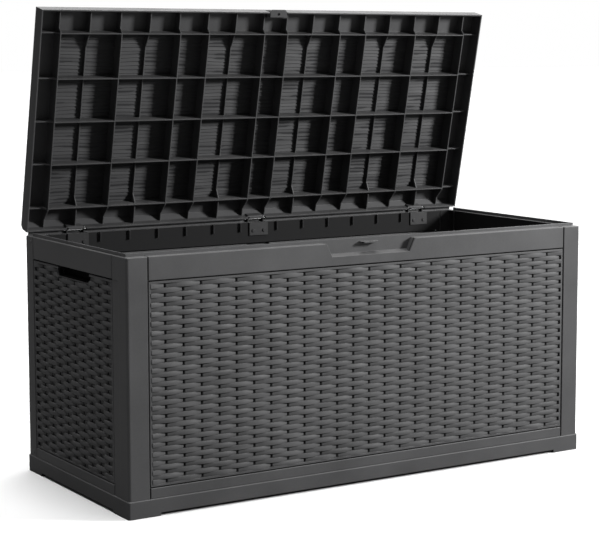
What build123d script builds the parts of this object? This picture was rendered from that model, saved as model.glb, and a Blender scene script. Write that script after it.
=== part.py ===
from build123d import *
import os

# Resin deck storage box with a wicker-pattern body and a ribbed, hinged lid.
# Frame: +Z up, the front is -Y, the origin is on the floor under the middle of the box.
# The lid is drawn shut and then turned about the hinge line into its open rest pose.

# ---- driving dimensions, millimetres -------------------------------------------------
WIDTH = 1210.0            # over the corner posts, along X
DEPTH = 520.0             # over the corner posts, along Y
LEDGE_Z = 548.0           # top of the posts and rails, where the lid's skirt comes down
PLINTH_TOP = 38.0         # top of the base frame
FOOT_HEIGHT = 7.0         # the base frame clears the floor by this much between its feet
LOWER_RAIL_TOP = 60.5     # top edge of the lower rails
PANEL_BOTTOM = 62.5       # visible edges of the wicker panels
PANEL_TOP = 495.5
TOP_RAIL_BOTTOM = 498.0
WALL = 20.0               # wall depth of posts and rails
POST_FRONT = 48.5         # post face seen from the front and the back
POST_SIDE_FRONT = 68.0    # front posts, seen from the side
POST_SIDE_REAR = 40.0     # rear posts, seen from the side
GROOVE = 2.4              # open groove between a post and what stands next to it
TONGUE = 18.0             # how far rails and panels reach into the posts
EDGE_BREAK = 1.0          # small chamfer on the edges that show
LIP_HEIGHT = 7.0          # upstand round the mouth, above the ledge
LIP_THICK = 3.0
LIP_FRONT_INSET = 17.0    # the front lip stands over the back of the finger recess
LIP_SIDE_INSET = 7.0
LID_SWEEP = 24.0          # no lip this close to the back, where the lid's rear skirt turns
UPSTAND_THICK = 2.2       # thin upstand along the back, behind the shut lid's rear skirt
UPSTAND_HEIGHT = 8.0
UPSTAND_INSET = 0.2       # from the back face of posts and rail to the upstand

LID_WIDTH = 1216.0
LID_DEPTH = 514.0
LID_HEIGHT = 38.0
LID_SKIN = 3.0
LID_GAP = 0.4             # clearance between the shut lid's rim and the ledge
HINGE_Y = 256.0           # hinge line, parallel to X
HINGE_Z = 559.5
OPEN_ANGLE = 77.65        # how far the lid stands open in the rest pose
HINGE_X = (-484.0, 0.0, 484.0)
PIN_RADIUS = 2.5
PIN_CLEARANCE = 0.08

RIB_PITCH = 75.2
RIB_FIRST = 32.0
CROSS_PITCH = 100.0
CROSS_END_PITCH = 104.0
DEEP_RIB_EDGE = 2.0       # rib edges sit this far inside the rim plane
STRIP_RIB_EDGE = 12.0     # and this far in the strips that clear the lip
LOW_RIB_EDGE = 27.0       # the low ribs between two cross ribs

FINGER_TOP_HALF = 119.0   # half lengths of the finger recess in the front top rail
FINGER_BOTTOM_HALF = 104.0
FINGER_BOTTOM_Z = 518.0
GRIP_TOP_HALF = 91.0      # half lengths of the hand grips in the side panels
GRIP_BOTTOM_HALF = 79.0
GRIP_BOTTOM_Z = 474.5
GRIP_DEPTH = 30.0
GRIP_Y = 6.0
HASP_HOLE_Y = -252.0
HASP_HOLE_RADIUS = 3.5

HALF_W = WIDTH / 2
HALF_D = DEPTH / 2
RIM_Z = LEDGE_Z + LID_GAP
LID_BACK_Y = 257.0
LID_FRONT_Y = LID_BACK_Y - LID_DEPTH

os.makedirs("parts", exist_ok=True)


def block(x0, x1, y0, y1, z0, z1):
    """An axis-aligned block between two corners."""
    centre = ((x0 + x1) / 2, (y0 + y1) / 2, (z0 + z1) / 2)
    return Pos(*centre) * Box(x1 - x0, y1 - y0, z1 - z0)


def prism_z(points, z0, z1):
    """A plan outline pulled up from z0 to z1."""
    outline = make_face(Polyline(*points, close=True))
    return Pos(0, 0, z0) * extrude(outline, z1 - z0, dir=(0, 0, 1))


def prism_y(points, y0, y1):
    """An outline of (x, z) points pulled along Y from y0 to y1."""
    outline = make_face(Polyline(*[(x, y0, z) for x, z in points], close=True))
    return extrude(outline, y1 - y0, dir=(0, 1, 0))


def prism_x(points, x0, x1):
    """An outline of (y, z) points pulled along X from x0 to x1."""
    outline = make_face(Polyline(*[(x0, y, z) for y, z in points], close=True))
    return extrude(outline, x1 - x0, dir=(1, 0, 0))


def rod_x(x0, x1, y, z, radius):
    """A round bar along X."""
    return Pos((x0 + x1) / 2, y, z) * Rot(0, 90, 0) * Cylinder(radius, x1 - x0)


def rod_y(x, y0, y1, z, radius):
    """A round bar along Y."""
    return Pos(x, (y0 + y1) / 2, z) * Rot(90, 0, 0) * Cylinder(radius, y1 - y0)


def rod_z(x, y, z0, z1, radius):
    """A round bar along Z."""
    return Pos(x, y, (z0 + z1) / 2) * Cylinder(radius, z1 - z0)


def save(shape, name):
    export_step(shape, f"parts/{name}.step")


# ---- base frame and floor ------------------------------------------------------------
PLINTH_PROUD = 2.0
RING_WIDTH = 44.0
RING_SKIN = 4.0
RING_CORNER = 5.0
FOOT_LENGTH = 75.0
FOOT_TOP = 12.0           # the feet reach this far up into the ring's hollow


def base_frame():
    """Moulded ring with an inverted channel section and a foot under each corner."""
    outer_x, outer_y = HALF_W + PLINTH_PROUD, HALF_D + PLINTH_PROUD
    ring = block(-outer_x, outer_x, -outer_y, outer_y, FOOT_HEIGHT, PLINTH_TOP)
    ring = fillet(ring.edges().filter_by(Axis.Z), RING_CORNER)
    ring = chamfer(ring.edges().group_by(Axis.Z)[-1], 1.5)
    inner_x, inner_y = outer_x - RING_WIDTH, outer_y - RING_WIDTH
    ring -= block(-inner_x, inner_x, -inner_y, inner_y, 0, PLINTH_TOP + 1)
    hollow_top = PLINTH_TOP - RING_SKIN
    hollow = block(-outer_x + RING_SKIN, outer_x - RING_SKIN, -outer_y + RING_SKIN, outer_y - RING_SKIN,
                   FOOT_HEIGHT - 1, hollow_top)
    hollow -= block(-inner_x - RING_SKIN, inner_x + RING_SKIN, -inner_y - RING_SKIN, inner_y + RING_SKIN,
                    FOOT_HEIGHT - 1, hollow_top)
    ring -= hollow
    for side_x in (-1, 1):
        for side_y in (-1, 1):
            foot = block(outer_x - FOOT_LENGTH, outer_x, outer_y - RING_WIDTH, outer_y, 0, FOOT_TOP)
            foot += block(outer_x - RING_WIDTH, outer_x, outer_y - FOOT_LENGTH, outer_y, 0, FOOT_TOP)
            corner = foot.edges().filter_by(Axis.Z).sort_by(lambda e: e.center().X + e.center().Y)[-1]
            foot = fillet(corner, RING_CORNER)
            foot = mirror(foot, Plane.YZ) if side_x < 0 else foot
            foot = mirror(foot, Plane.XZ) if side_y < 0 else foot
            ring += foot
    return ring


FLOOR_SHEET = 3.5
FLOOR_HALF_W = HALF_W - WALL - 0.5
FLOOR_HALF_D = HALF_D - WALL - 0.5
FLOOR_SEAM = 0.4
FLOOR_RIB_DEPTH = 20.0
FLOOR_RIB_HALF = 1.25
LONG_RIBS_Y = (-165.0, -55.0, 55.0, 165.0)
SHORT_RIBS_X = (100.0, 225.0, 350.0, 475.0)
BEAM_HALF = 32.0
BEAM_SKIN = 4.0
BEAM_FOOT_HALF = 25.0
BEAM_WEB_HALF = 28.0      # solid between the two pockets, over the middle foot


def floor_panel(side):
    """Half of the floor: a sheet that lies on the base frame and the middle beam, with ribs below."""
    near, far = FLOOR_SEAM, FLOOR_HALF_W
    sheet = block(near, far, -FLOOR_HALF_D, FLOOR_HALF_D, PLINTH_TOP, PLINTH_TOP + FLOOR_SHEET)
    rib_end_x = HALF_W + PLINTH_PROUD - RING_WIDTH - 1
    rib_end_y = HALF_D + PLINTH_PROUD - RING_WIDTH - 1
    rib_bottom = PLINTH_TOP - FLOOR_RIB_DEPTH
    for y in LONG_RIBS_Y:
        sheet += block(BEAM_HALF + 1, rib_end_x, y - FLOOR_RIB_HALF, y + FLOOR_RIB_HALF, rib_bottom, PLINTH_TOP)
    for x in SHORT_RIBS_X:
        sheet += block(x - FLOOR_RIB_HALF, x + FLOOR_RIB_HALF, -rib_end_y, rib_end_y, rib_bottom, PLINTH_TOP)
    return mirror(sheet, Plane.YZ) if side < 0 else sheet


def floor_beam():
    """Channel that runs front to back under the floor's middle seam, on three feet."""
    end = HALF_D + PLINTH_PROUD - RING_WIDTH - 0.5
    beam = block(-BEAM_HALF, BEAM_HALF, -end, end, FOOT_HEIGHT, PLINTH_TOP)
    for pocket in (-1, 1):
        near, far = sorted((pocket * BEAM_WEB_HALF, pocket * (end - BEAM_WEB_HALF)))
        beam -= block(-BEAM_HALF + BEAM_SKIN, BEAM_HALF - BEAM_SKIN, near, far,
                      FOOT_HEIGHT - 1, PLINTH_TOP - BEAM_SKIN)
    for y in (-end + BEAM_FOOT_HALF, 0, end - BEAM_FOOT_HALF):
        beam += block(-BEAM_FOOT_HALF, BEAM_FOOT_HALF, y - BEAM_FOOT_HALF, y + BEAM_FOOT_HALF, 0, FOOT_HEIGHT)
    return beam


# ---- corner posts --------------------------------------------------------------------
POST_SKIN = 4.0
SLOT_REACH = 22.0
POST_CAP = 4.0
POST_CORNER = 6.0
STEP_DEPTH = 1.0
STEP_WIDTH = 38.0


def corner_post(side_x, side_y):
    """L-shaped hollow post. Its two open ends take the tongues of the rails and panels."""
    side_leg = POST_SIDE_FRONT if side_y < 0 else POST_SIDE_REAR
    leg = POST_FRONT
    outline = [(0, 0), (leg, 0), (leg, WALL), (WALL, WALL), (WALL, side_leg), (0, side_leg)]
    post = prism_z(outline, PLINTH_TOP, LEDGE_Z)
    outer_edge = post.edges().filter_by(Axis.Z).sort_by(lambda e: e.center().X + e.center().Y)[0]
    post = fillet(outer_edge, POST_CORNER)
    faces = post.faces().filter_by(lambda f: min(abs(f.center().X), abs(f.center().Y)) < 0.01)
    shown = [edge for face in faces for edge in face.edges() if edge.center().Z > PLINTH_TOP + 1
             and max(edge.center().X, edge.center().Y) > POST_CORNER + 0.5]
    post = chamfer(shown, EDGE_BREAK)
    inner = WALL - POST_SKIN
    core_x, core_y = leg - SLOT_REACH - POST_SKIN, side_leg - SLOT_REACH - POST_SKIN
    core = block(POST_SKIN, max(core_x, inner), POST_SKIN, inner, PLINTH_TOP, LEDGE_Z - POST_CAP)
    if core_y > inner:
        core += block(POST_SKIN, inner, POST_SKIN, core_y, PLINTH_TOP, LEDGE_Z - POST_CAP)
    post -= core
    post -= block(leg - SLOT_REACH, leg + 1, POST_SKIN, inner, PLINTH_TOP, LEDGE_Z - POST_CAP)
    post -= block(POST_SKIN, inner, side_leg - SLOT_REACH, side_leg + 1, PLINTH_TOP, LEDGE_Z - POST_CAP)
    if side_y < 0:
        # the strip next to the side panel is set back a little, below the rail's height
        post -= block(-1, STEP_DEPTH, STEP_WIDTH, side_leg + 1, PLINTH_TOP - 1, TOP_RAIL_BOTTOM)
    # the lip goes round the corner on top of the post
    lip_start = LIP_FRONT_INSET if side_y < 0 else LID_SWEEP
    lip = block(LIP_SIDE_INSET, LIP_SIDE_INSET + LIP_THICK, lip_start, side_leg,
                LEDGE_Z, LEDGE_Z + LIP_HEIGHT)
    if side_y < 0:
        lip += block(LIP_SIDE_INSET, leg, LIP_FRONT_INSET, LIP_FRONT_INSET + LIP_THICK,
                     LEDGE_Z, LEDGE_Z + LIP_HEIGHT)
    post += lip
    if side_y > 0:
        post += block(POST_CORNER, leg, UPSTAND_INSET, UPSTAND_INSET + UPSTAND_THICK,
                      LEDGE_Z, LEDGE_Z + UPSTAND_HEIGHT)
    post = Pos(-HALF_W, -HALF_D, 0) * post
    post = mirror(post, Plane.YZ) if side_x > 0 else post
    return mirror(post, Plane.XZ) if side_y > 0 else post


# ---- rails ---------------------------------------------------------------------------
RAIL_SKIN = 3.5
TONGUE_FACE = 4.4         # tongue thickness runs from here ...
TONGUE_BACK = 15.6        # ... to here, measured in from the outer face


def rail_box(half, z0, z1, open_below):
    """A rail drawn along X with its outer face at y = 0: a channel with a solid tongue at each end."""
    rail = block(-half, half, 0, WALL, z0, z1)
    low, high = (z0 - 1, z1 - RAIL_SKIN) if open_below else (z0 + RAIL_SKIN, z1 + 1)
    rail -= block(-half + RAIL_SKIN, half - RAIL_SKIN, RAIL_SKIN, WALL - RAIL_SKIN, low, high)
    for end in (-1, 1):
        near, far = sorted((end * half, end * (half + TONGUE)))
        rail += block(near, far, TONGUE_FACE, TONGUE_BACK, z0 + 1, min(z1, LEDGE_Z - POST_CAP) - 1)
    return chamfer(rail.edges().group_by(Axis.Y)[0], EDGE_BREAK)


FRONT_HALF = HALF_W - POST_FRONT - GROOVE
SIDE_FRONT_Y = -HALF_D + POST_SIDE_FRONT + GROOVE
SIDE_REAR_Y = HALF_D - POST_SIDE_REAR - GROOVE
SIDE_HALF = (SIDE_REAR_Y - SIDE_FRONT_Y) / 2
SIDE_CENTRE = (SIDE_REAR_Y + SIDE_FRONT_Y) / 2
CUP_SKIN = 3.0
RECESS_RISE = 5.0         # the finger recess's floor rises towards the back
BRACKET_HALF = 26.0
BRACKET_SHEET = 3.0
BRACKET_SCREW_Z = 528.0
SCREW_OFFSET = 15.0
SCREW_HOLE_RADIUS = 2.2
RAIL_RIB_FIRST = 52.0     # short ribs on the rear rail's inner face, counted out from the middle
RAIL_RIB_OUT = 5.0
RAIL_RIB_HEIGHT = 22.0
RAIL_RIB_HALF = 1.5


def front_top_rail():
    """Front rail with the lip, the finger recess and the strike tab's seat."""
    rail = rail_box(FRONT_HALF, TOP_RAIL_BOTTOM, LEDGE_Z, True)
    rail += block(-FRONT_HALF - GROOVE, FRONT_HALF + GROOVE, LIP_FRONT_INSET, LIP_FRONT_INSET + LIP_THICK,
                  LEDGE_Z, LEDGE_Z + LIP_HEIGHT)
    bottom, mouth_top = FINGER_BOTTOM_HALF + CUP_SKIN, FINGER_TOP_HALF + CUP_SKIN
    cup = [(-bottom, FINGER_BOTTOM_Z - CUP_SKIN), (bottom, FINGER_BOTTOM_Z - CUP_SKIN),
           (mouth_top, LEDGE_Z), (-mouth_top, LEDGE_Z)]
    rail += prism_y(cup, 0, WALL)
    mouth = [(-FINGER_BOTTOM_HALF, FINGER_BOTTOM_Z), (FINGER_BOTTOM_HALF, FINGER_BOTTOM_Z),
             (FINGER_TOP_HALF, LEDGE_Z + 1), (-FINGER_TOP_HALF, LEDGE_Z + 1)]
    rail -= prism_y(mouth, -1, LIP_FRONT_INSET)
    rail += prism_x([(2, FINGER_BOTTOM_Z - 1), (LIP_FRONT_INSET, FINGER_BOTTOM_Z - 1),
                     (LIP_FRONT_INSET, FINGER_BOTTOM_Z + RECESS_RISE)], -FINGER_BOTTOM_HALF, FINGER_BOTTOM_HALF)
    return Pos(0, -HALF_D, 0) * rail


def rear_top_rail():
    """Rear rail. Its upstand is at the very back, because the lid's rear skirt turns over the ledge."""
    rail = rail_box(FRONT_HALF, TOP_RAIL_BOTTOM, LEDGE_Z, True)
    rail += block(-FRONT_HALF - GROOVE, FRONT_HALF + GROOVE, UPSTAND_INSET, UPSTAND_INSET + UPSTAND_THICK,
                  LEDGE_Z, LEDGE_Z + UPSTAND_HEIGHT)
    for x in HINGE_X:
        rail -= block(x - BRACKET_HALF - 0.5, x + BRACKET_HALF + 0.5, -1, WALL + 1,
                      LEDGE_Z - BRACKET_SHEET, LEDGE_Z + UPSTAND_HEIGHT + 1)
    for side in (-1, 1):
        for k in range(7):
            x = side * (RAIL_RIB_FIRST + k * RIB_PITCH)
            clear = min(abs(x - hinge) for hinge in HINGE_X) > BRACKET_HALF + 3
            if clear:
                rail += block(x - RAIL_RIB_HALF, x + RAIL_RIB_HALF, WALL, WALL + RAIL_RIB_OUT,
                              LEDGE_Z - RAIL_RIB_HEIGHT, LEDGE_Z)
    for x in HINGE_X:
        for screw in (-1, 1):
            rail -= rod_y(x + screw * SCREW_OFFSET, WALL - RAIL_SKIN - 1, WALL + 1,
                          BRACKET_SCREW_Z, SCREW_HOLE_RADIUS)
    return mirror(Pos(0, -HALF_D, 0) * rail, Plane.XZ)


def turn_to_side(shape, side):
    """Turn a rail or panel drawn for the front onto the left (-1) or right (+1) side."""
    left = Pos(-HALF_W, SIDE_CENTRE, 0) * Rot(0, 0, -90) * shape
    return left if side < 0 else mirror(left, Plane.YZ)


def side_top_rail(side):
    """Side rail with its lip."""
    rail = rail_box(SIDE_HALF, TOP_RAIL_BOTTOM, LEDGE_Z, True)
    rail += block(-SIDE_HALF - GROOVE, SIDE_HALF + GROOVE, LIP_SIDE_INSET, LIP_SIDE_INSET + LIP_THICK,
                  LEDGE_Z, LEDGE_Z + LIP_HEIGHT)
    return turn_to_side(rail, side)


def lower_rail(half):
    """Lower rail: a channel, open upwards, that the panel stands in."""
    return rail_box(half, PLINTH_TOP, LOWER_RAIL_TOP, False)


# ---- wicker panels -------------------------------------------------------------------
BEAD = 5.0                # plain border round the wicker field
BEAD_FACE = 1.0           # the bead's face, measured in from the posts' outer face
BEAD_BREAK = 0.8
SHEET_FACE = 6.6          # the sheet lies behind the bead, as the bed of the woven relief
SHEET_BACK = 8.6
LINER_BACK = 18.5
LINER_SHEET = 2.0
LINER_WALL = 2.5
LINER_MARGIN = 6.0
REAR_CHANNEL_HALF = 32.0  # open channel up the middle of the rear panel's inside
PANEL_GAP = 0.8
GRIP_SKIN = 2.5


def wall_panel(half, fields):
    """Panel drawn along X: a sheet with a bead round its face, tongues all round and a raised liner
    behind it. Each field is one liner's span in X."""
    inner_half = half - RAIL_SKIN - PANEL_GAP
    bottom, top = PLINTH_TOP + RAIL_SKIN + PANEL_GAP, TOP_RAIL_BOTTOM + 16
    sheet = block(-inner_half, inner_half, SHEET_FACE, SHEET_BACK, bottom, top)
    sheet += block(-half - TONGUE, half + TONGUE, SHEET_FACE, SHEET_BACK, PANEL_BOTTOM, PANEL_TOP)
    bead = block(-half, half, BEAD_FACE, SHEET_FACE, PANEL_BOTTOM, PANEL_TOP)
    bead = chamfer(bead.edges().group_by(Axis.Y)[0], BEAD_BREAK)
    bead -= block(-half + BEAD, half - BEAD, BEAD_FACE - 1, SHEET_FACE + 1, PANEL_BOTTOM + BEAD, PANEL_TOP - BEAD)
    sheet += bead
    for x0, x1 in fields:
        liner = block(x0, x1, SHEET_BACK, LINER_BACK, LOWER_RAIL_TOP + 2, TOP_RAIL_BOTTOM - 3)
        liner -= block(x0 + LINER_WALL, x1 - LINER_WALL, SHEET_BACK, LINER_BACK - LINER_SHEET,
                       LOWER_RAIL_TOP, TOP_RAIL_BOTTOM - 3 - LINER_WALL)
        sheet += liner
    return sheet


def front_panel():
    return Pos(0, -HALF_D, 0) * wall_panel(FRONT_HALF, [(-FRONT_HALF + LINER_MARGIN, -4), (4, FRONT_HALF - LINER_MARGIN)])


def rear_panel():
    panel = wall_panel(FRONT_HALF, [(-FRONT_HALF + LINER_MARGIN, -REAR_CHANNEL_HALF),
                                    (REAR_CHANNEL_HALF, FRONT_HALF - LINER_MARGIN)])
    return mirror(Pos(0, -HALF_D, 0) * panel, Plane.XZ)


def side_panel(side):
    """Side panel with a hand grip: a blind cup under the top rail, open to the outside."""
    panel = wall_panel(SIDE_HALF, [(-SIDE_HALF + LINER_MARGIN, SIDE_HALF - LINER_MARGIN)])
    centre = SIDE_CENTRE - GRIP_Y

    def grip(grow, y0, y1, top):
        points = [(centre - GRIP_BOTTOM_HALF - grow, GRIP_BOTTOM_Z - grow),
                  (centre + GRIP_BOTTOM_HALF + grow, GRIP_BOTTOM_Z - grow),
                  (centre + GRIP_TOP_HALF + grow, top), (centre - GRIP_TOP_HALF - grow, top)]
        return prism_y(points, y0, y1)

    top = TOP_RAIL_BOTTOM + 16
    panel -= grip(0, -1, LINER_BACK + 1, top + 1)
    cup = grip(GRIP_SKIN, TONGUE_FACE, GRIP_DEPTH, TOP_RAIL_BOTTOM - PANEL_GAP)
    cup -= grip(0, TONGUE_FACE - 1, GRIP_DEPTH - GRIP_SKIN, TOP_RAIL_BOTTOM + 1)
    # the cup reaches further in than the rail above it, so it has its own roof there
    cup += block(centre - GRIP_TOP_HALF, centre + GRIP_TOP_HALF, WALL + PANEL_GAP, GRIP_DEPTH,
                 TOP_RAIL_BOTTOM - PANEL_GAP - GRIP_SKIN, TOP_RAIL_BOTTOM - PANEL_GAP)
    return turn_to_side(panel + cup, side)


# ---- hinges --------------------------------------------------------------------------
BRACKET_DROP = 32.0       # the flange's height
BACK_EDGE_HEIGHT = 6.2    # the turned-up back edge stays under the barrel
EAR_GAP = 40.0            # between the two ears of a bracket
EAR_RADIUS = 4.6
LUG_RADIUS = 4.6
BARREL_HALF = EAR_GAP / 2 - 0.4
HEAD_OUT = 1.2
SCREW_RADIUS = 2.15
SCREW_REACH = 3.0         # the screws pass this far beyond the rail's inner skin
SCREW_HEAD_RADIUS = 4.2
SCREW_HEAD_OUT = 2.0


def hinge_bracket(x):
    """Bent steel bracket: a flange on the rail's inner face, a top plate with its back edge turned
    up, and two ears for the pin."""
    inner = HALF_D - WALL
    half = BRACKET_HALF
    plate = block(x - half, x + half, inner - BRACKET_SHEET, HALF_D, LEDGE_Z - BRACKET_SHEET, LEDGE_Z)
    plate += block(x - half, x + half, inner - BRACKET_SHEET, inner, LEDGE_Z - BRACKET_DROP, LEDGE_Z)
    plate += block(x - half, x + half, HALF_D - UPSTAND_THICK, HALF_D, LEDGE_Z, LEDGE_Z + BACK_EDGE_HEIGHT)
    for end in (-1, 1):
        x0, x1 = sorted((x + end * EAR_GAP / 2, x + end * (EAR_GAP / 2 + BRACKET_SHEET)))
        ear = block(x0, x1, HINGE_Y - EAR_RADIUS, HALF_D, LEDGE_Z - 1, HINGE_Z)
        ear -= block(x0 - 1, x1 + 1, HINGE_Y + EAR_RADIUS, HALF_D + 1, LEDGE_Z, HINGE_Z)
        ear += rod_x(x0, x1, HINGE_Y, HINGE_Z, EAR_RADIUS)
        plate += ear
    plate -= rod_x(x - half, x + half, HINGE_Y, HINGE_Z, PIN_RADIUS)
    for screw in (-1, 1):
        plate -= rod_y(x + screw * SCREW_OFFSET, inner - BRACKET_SHEET - 1, inner + 1,
                       BRACKET_SCREW_Z, SCREW_HOLE_RADIUS)
    return plate


def hinge_pin(x):
    """Steel pin pressed through both ears, with a low head on one end."""
    half = EAR_GAP / 2 + BRACKET_SHEET
    pin = rod_x(x - half, x + half, HINGE_Y, HINGE_Z, PIN_RADIUS)
    return pin + rod_x(x + half, x + half + HEAD_OUT, HINGE_Y, HINGE_Z, PIN_RADIUS + HEAD_OUT)


def bracket_screws():
    """Two pan-head screws through each bracket's flange into the rail's inner skin."""
    screws = []
    inner = HALF_D - WALL
    for x in HINGE_X:
        for screw in (-1, 1):
            at = x + screw * SCREW_OFFSET
            under_head = inner - BRACKET_SHEET
            one = rod_y(at, under_head, inner + RAIL_SKIN + SCREW_REACH, BRACKET_SCREW_Z, SCREW_RADIUS)
            one += rod_y(at, under_head - SCREW_HEAD_OUT, under_head, BRACKET_SCREW_Z, SCREW_HEAD_RADIUS)
            screws.append(one)
    return Compound(children=screws)


# ---- lid -----------------------------------------------------------------------------
RIB_THICK = 2.4
LOW_RIBS = {1, 4, 6}      # counted outwards from the middle
HINGE_RIB_EDGE = 20.0     # rib edges over the hinge brackets
REAR_BEVEL = 12.0
TOP_ROUND = 5.0
TOP_MARGIN = 30.0         # the lid's top is a shallow recessed field inside this border
TOP_RECESS = 1.0
HASP_HALF = 23.0
HASP_THICK = 3.0
HASP_RISE = 1.2           # the plate's underside above the rim plane
HASP_OUT = 6.0            # how far the plate shows beyond the lid's front face
POCKET_HALF = HASP_HALF + 2.0
POCKET_TOP = 26.0
POCKET_WALL = 2.4
POCKET_BACK_Y = -244.0


def swing(shape):
    """Turn a lid piece from its shut place to its rest pose."""
    return shape.rotate(Axis((0, HINGE_Y, HINGE_Z), (1, 0, 0)), -OPEN_ANGLE)


def cross_rib_stations():
    """Distances of the cross ribs from the lid's rear edge."""
    middle = LID_DEPTH / 2 - 1
    steps = (-CROSS_PITCH - CROSS_END_PITCH, -CROSS_PITCH, 0, CROSS_PITCH, CROSS_PITCH + CROSS_END_PITCH)
    return [middle + step for step in steps]


def rib_positions():
    """X of every front-to-back rib; True marks a low rib."""
    return [(side * (RIB_FIRST + k * RIB_PITCH), k in LOW_RIBS) for k in range(8) for side in (-1, 1)]


def front_to_back_rib(x, is_low):
    """One rib. Its lower edge steps up into the pan near the front, over the hinges, and, on a low
    rib, all the way between the first and last cross ribs."""
    stations = cross_rib_stations()
    rear, front = stations[0], stations[-1]
    top = RIM_Z + LID_HEIGHT - LID_SKIN / 2
    if is_low:
        edge = [(1, STRIP_RIB_EDGE), (rear, STRIP_RIB_EDGE), (rear + 20, LOW_RIB_EDGE),
                (front - 36, LOW_RIB_EDGE), (front, STRIP_RIB_EDGE), (LID_DEPTH - 1, STRIP_RIB_EDGE)]
    else:
        edge = [(1, HINGE_RIB_EDGE), (22, HINGE_RIB_EDGE), (rear - 4, DEEP_RIB_EDGE),
                (front + 3, DEEP_RIB_EDGE), (front + 11, STRIP_RIB_EDGE), (LID_DEPTH - 1, STRIP_RIB_EDGE)]
    points = [(LID_BACK_Y - s, RIM_Z + rise) for s, rise in edge]
    points += [(LID_FRONT_Y + 1, top - 3), (LID_FRONT_Y + 4, top),
               (LID_BACK_Y - REAR_BEVEL - 1, top), (LID_BACK_Y - 1, top - REAR_BEVEL + 0.5)]
    return prism_x(points, x - RIB_THICK / 2, x + RIB_THICK / 2)


def lid_shell():
    """The lid: a pan with a skirt, a bevelled rear edge, stiffening ribs and the hinge barrels."""
    half = LID_WIDTH / 2
    top = RIM_Z + LID_HEIGHT
    pan = block(-half, half, LID_FRONT_Y, LID_BACK_Y, RIM_Z, top)
    rear_edge = pan.edges().filter_by(Axis.X).sort_by(lambda e: e.center().Y + e.center().Z)[-1]
    pan = chamfer(rear_edge, REAR_BEVEL)
    soft = pan.edges().group_by(Axis.Z)[-1].filter_by(lambda e: e.center().Y < LID_BACK_Y - REAR_BEVEL - 1)
    pan = fillet(soft, TOP_ROUND)
    inside = block(-half + LID_SKIN, half - LID_SKIN, LID_FRONT_Y + LID_SKIN, LID_BACK_Y - LID_SKIN,
                   RIM_Z - 1, top - LID_SKIN)
    inner_edge = inside.edges().filter_by(Axis.X).sort_by(lambda e: e.center().Y + e.center().Z)[-1]
    inside = chamfer(inner_edge, REAR_BEVEL - 1)
    pan -= inside
    pan -= block(-half + TOP_MARGIN, half - TOP_MARGIN, LID_FRONT_Y + TOP_MARGIN, LID_BACK_Y - TOP_MARGIN,
                 top - TOP_RECESS, top + 1)
    grid = [front_to_back_rib(x, is_low) for x, is_low in rib_positions()]
    inner_half = RIB_FIRST + 7 * RIB_PITCH
    for s in cross_rib_stations():
        y = LID_BACK_Y - s
        points = [(-half + 1, RIM_Z + STRIP_RIB_EDGE), (-inner_half - 10, RIM_Z + STRIP_RIB_EDGE),
                  (-inner_half, RIM_Z + DEEP_RIB_EDGE), (inner_half, RIM_Z + DEEP_RIB_EDGE),
                  (inner_half + 10, RIM_Z + STRIP_RIB_EDGE), (half - 1, RIM_Z + STRIP_RIB_EDGE),
                  (half - 1, top - LID_SKIN / 2 - 3), (half - 4, top - LID_SKIN / 2),
                  (-half + 4, top - LID_SKIN / 2), (-half + 1, top - LID_SKIN / 2 - 3)]
        grid.append(prism_y(points, y - RIB_THICK / 2, y + RIB_THICK / 2))
    for rib in grid:
        pan += rib
    for x in HINGE_X:
        pan = hinge_features(pan, x)
    # pocket in the front skirt, so that a padlock's shackle reaches the hasp
    pocket_top = RIM_Z + POCKET_TOP
    pan += block(-POCKET_HALF - POCKET_WALL, POCKET_HALF + POCKET_WALL, LID_FRONT_Y + 1,
                 POCKET_BACK_Y + POCKET_WALL, RIM_Z + LIP_HEIGHT + 0.6, pocket_top + POCKET_WALL)
    pan -= block(-POCKET_HALF, POCKET_HALF, LID_FRONT_Y - 6, POCKET_BACK_Y, RIM_Z - 1, pocket_top)
    return swing(pan)


def hinge_features(pan, x):
    """Barrel for one pin, its web to the skin, and slots in the skirt for the bracket's ears."""
    skirt_face = LID_BACK_Y - LID_SKIN / 2
    pan += rod_x(x - BARREL_HALF, x + BARREL_HALF, HINGE_Y, HINGE_Z, LUG_RADIUS)
    pan += block(x - BARREL_HALF, x + BARREL_HALF, HINGE_Y - LUG_RADIUS, skirt_face,
                 HINGE_Z, RIM_Z + LID_HEIGHT - REAR_BEVEL + 2)
    for end in (-1, 1):
        x0, x1 = sorted((x + end * BARREL_HALF, x + end * (EAR_GAP / 2 + BRACKET_SHEET + HEAD_OUT + 1)))
        slot = block(x0, x1, HINGE_Y - EAR_RADIUS - 0.8, LID_BACK_Y + 5, RIM_Z - 1, HINGE_Z + EAR_RADIUS + 0.8)
        pan -= slot
    return pan - rod_x(x - BARREL_HALF - 1, x + BARREL_HALF + 1, HINGE_Y, HINGE_Z, PIN_RADIUS + PIN_CLEARANCE)


def lid_hasp():
    """Plate across the pocket in the lid's front skirt, with a hole for a padlock."""
    low, high = RIM_Z + HASP_RISE, RIM_Z + HASP_RISE + HASP_THICK
    outline = [(-HASP_HALF, POCKET_BACK_Y - 0.8), (HASP_HALF, POCKET_BACK_Y - 0.8),
               (HASP_HALF, LID_FRONT_Y), (HASP_HALF - HASP_OUT, LID_FRONT_Y - HASP_OUT),
               (-HASP_HALF + HASP_OUT, LID_FRONT_Y - HASP_OUT), (-HASP_HALF, LID_FRONT_Y)]
    plate = prism_z(outline, low, high)
    for end in (-1, 1):
        x0, x1 = sorted((end * (HASP_HALF - 3), end * HASP_HALF))
        plate += block(x0, x1, LID_FRONT_Y + 3, POCKET_BACK_Y - 0.8, high, RIM_Z + POCKET_TOP)
    plate -= rod_z(0, HASP_HOLE_Y, low - 1, high + 1, HASP_HOLE_RADIUS)
    return swing(plate)


TAB_HALF = 22.0
TAB_TOP = LEDGE_Z - 1.0
TAB_THICK = 3.5


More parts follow.
